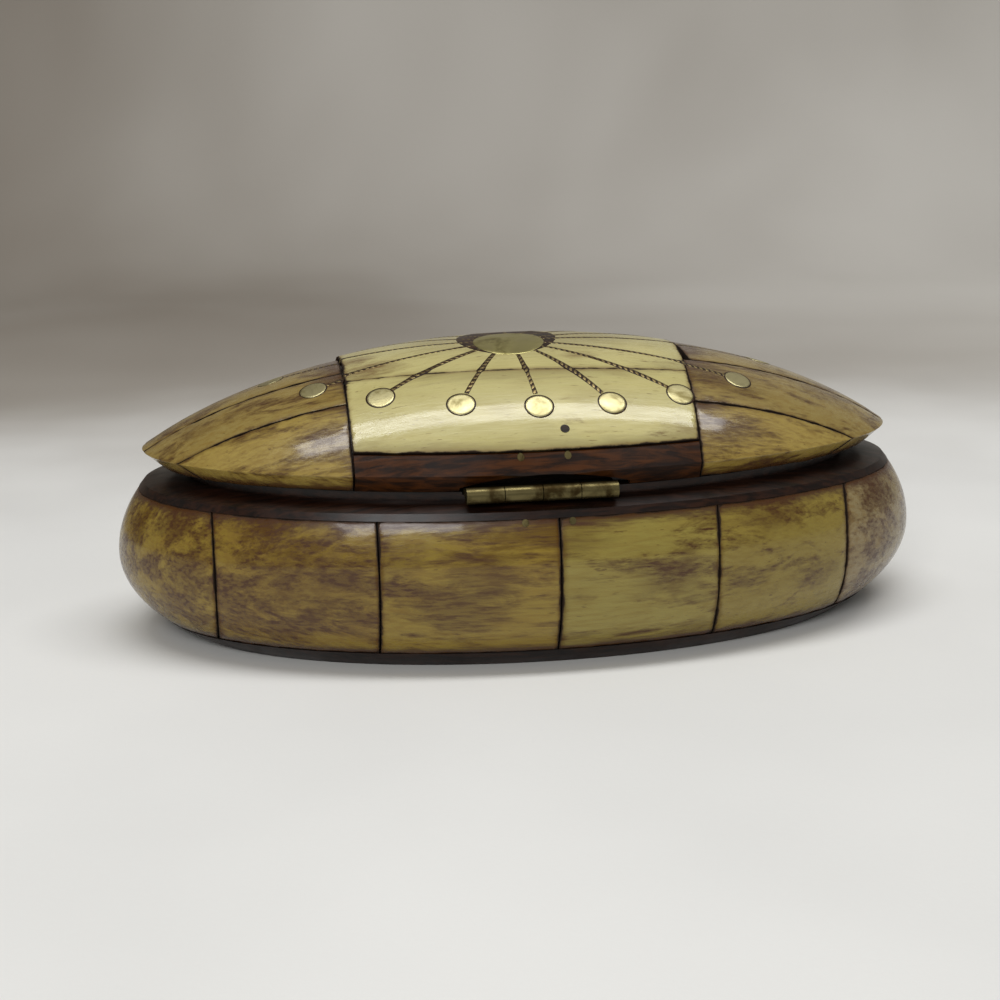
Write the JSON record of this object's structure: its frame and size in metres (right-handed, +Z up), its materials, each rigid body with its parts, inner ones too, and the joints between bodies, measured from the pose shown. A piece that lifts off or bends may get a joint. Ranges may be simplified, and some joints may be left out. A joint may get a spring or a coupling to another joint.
{
  "type": "trinket box",
  "caption": "Oval wooden trinket box clad with bone plates, with a hinged domed lid inlaid with a brass sun.",
  "frame": {"origin": "middle of the flat underside of the base", "axes": "+X along the box, +Y from the hinge side to the opening side, +Z up"},
  "size_m": [0.15, 0.0764, 0.0527],
  "materials": {
    "dark_wood": "dark red-brown lacquered wood",
    "floor_wood": "dark stained wood",
    "red_wood": "dark red-brown lacquered wood",
    "base_bone": "polished stained bone",
    "end_bone": "polished stained bone",
    "panel_bone": "polished bone",
    "sun_brass": "aged polished brass",
    "ray_brass": "twisted brass wire",
    "hinge_brass": "dull aged brass",
    "peg": "dark wood peg"
  },
  "bodies": {
    "base": {"base_wall": "dark_wood", "base_floor": "floor_wood", "base_rivets": "hinge_brass", "hinge_leaf_base": "hinge_brass", "hinge_pin": "hinge_brass", "base_bone_near_1": "base_bone", "base_bone_near_2": "base_bone", "base_bone_near_3": "base_bone", "base_bone_near_4": "base_bone", "base_bone_far_1": "base_bone", "base_bone_far_2": "base_bone", "base_bone_far_3": "base_bone", "base_bone_far_4": "base_bone", "base_bone_end_left": "base_bone", "base_bone_end_right": "base_bone"},
    "lid": {"lid_core": "dark_wood", "lid_strip_near": "red_wood", "lid_strip_far": "red_wood", "lid_panel_near": "panel_bone", "lid_panel_top": "panel_bone", "lid_panel_far": "panel_bone", "lid_bone_left_lower_near": "end_bone", "lid_bone_left_lower_far": "end_bone", "lid_bone_left_upper_near": "end_bone", "lid_bone_left_upper_far": "end_bone", "lid_bone_right_lower_near": "end_bone", "lid_bone_right_lower_far": "end_bone", "lid_bone_right_upper_near": "end_bone", "lid_bone_right_upper_far": "end_bone", "lid_bone_left_ridge": "end_bone", "lid_bone_right_ridge": "end_bone", "sun_medallion": "sun_brass", "sun_discs": "sun_brass", "sun_rays": "ray_brass", "panel_pin": "peg", "lid_rivets": "hinge_brass", "hinge_leaf_lid": "hinge_brass"}
  },
  "joints": [
    {"name": "lid_hinge", "type": "hinge", "parent": "base", "child": "lid", "pos_m": [-0.0018, -0.0342, 0.03125], "axis": [1, 0, 0], "range_deg": [0, 105]}
  ]
}
